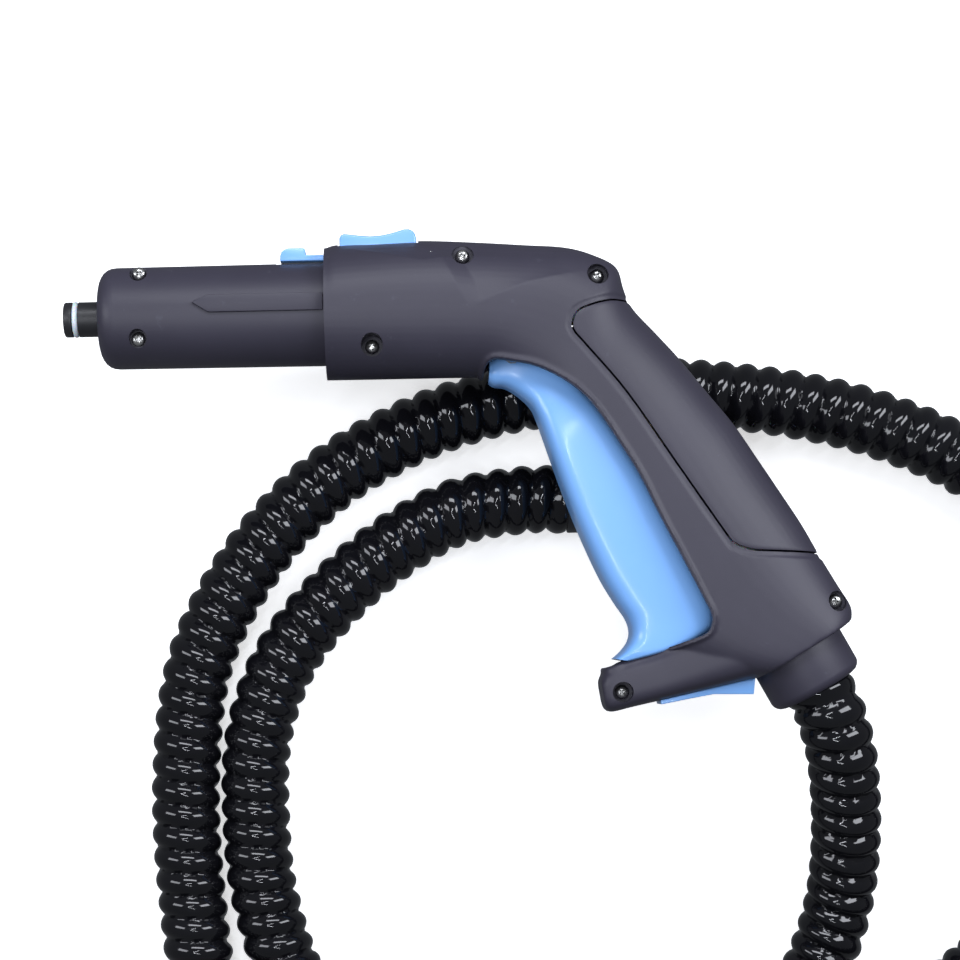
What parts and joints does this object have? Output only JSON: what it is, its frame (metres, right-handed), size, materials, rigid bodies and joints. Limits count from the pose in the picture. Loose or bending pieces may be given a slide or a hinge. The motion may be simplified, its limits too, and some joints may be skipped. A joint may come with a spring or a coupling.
{
  "type": "wallpaper steamer handset with hose",
  "caption": "Steam gun handset of a wallpaper steamer: barrel with quick-fit nozzle, trigger, latch, lock slide, and a corrugated hose.",
  "frame": {"origin": "centre of the handset's box, on the joint plane between the two shell halves, without the hose", "axes": "+X along the barrel from the nozzle to the rear, +Y from the handle towards the barrel's top, +Z out of the joint plane, away from the surface that the gun lies on"},
  "size_m": [0.3828, 0.3627, 0.0703],
  "materials": {
    "shell": "fine satin texture",
    "blue": "semi-gloss",
    "steel": "bright zinc",
    "spring": "drawn wire",
    "brass": "turned",
    "silicone": "translucent",
    "inner": "satin",
    "hose": "high gloss"
  },
  "bodies": {
    "handset": {"body_shell_near": "shell", "body_shell_far": "shell", "rear_grip_panel": "shell", "barrel_shell_near": "shell", "barrel_shell_far": "shell", "hose_collar": "shell", "screw_barrel_upper": "steel", "screw_barrel_lower": "steel", "screw_body_top": "steel", "screw_body_rear": "steel", "screw_body_front": "steel", "screw_toe": "steel", "screw_heel": "steel", "trigger_pin": "steel", "lever_pin": "steel", "trigger_spring": "spring", "lever_spring": "spring", "valve_spring": "spring", "spigot_tube_clip": "spring", "valve_inlet_clip": "spring", "valve_outlet_clip": "spring", "steam_valve_body": "brass", "spigot_o_ring": "silicone", "upper_steam_tube": "silicone", "lower_steam_tube": "silicone", "hose_end_o_ring": "silicone", "nozzle_spigot": "inner", "hose_end_fitting": "inner", "hose": "hose"},
    "trigger": {"trigger": "blue"},
    "valve_plunger": {"valve_plunger": "steel"},
    "release_lever": {"release_lever": "blue"},
    "lock_slide": {"lock_slide": "blue"},
    "hose_nut": {"hose_end_nut": "inner"}
  },
  "joints": [
    {"name": "trigger_pull", "type": "hinge", "parent": "handset", "child": "trigger", "pos_m": [0.0186, 0.0399, 0], "axis": [0, 0, 1], "range_deg": [0, 6], "stiffness_Nm_per_rad": 0.8, "springref_deg": -17.19},
    {"name": "plunger_travel", "type": "slide", "parent": "handset", "child": "valve_plunger", "axis": [0.8434, 0.5373, 0], "range_m": [0, 0.0052], "stiffness_N_per_m": 200, "springref_m": -0.004, "deforming": ["valve_spring"]},
    {"name": "latch_release", "type": "hinge", "parent": "handset", "child": "release_lever", "pos_m": [-0.0089, 0.0744, 0], "axis": [0, 0, 1], "range_deg": [0, 3.5], "stiffness_Nm_per_rad": 0.4, "springref_deg": -11.46},
    {"name": "lock_travel", "type": "slide", "parent": "handset", "child": "lock_slide", "axis": [-0.9778, -0.2095, 0], "range_m": [0, 0.008]},
    {"name": "hose_nut_turn", "type": "hinge", "parent": "handset", "child": "hose_nut", "pos_m": [0.0786, -0.0071, -0.0342], "axis": [1, 0, 0], "continuous": true}
  ],
  "couplings": [
    {"joint": "plunger_travel", "follows": "trigger_pull", "m_per_rad": 0.048}
  ]
}
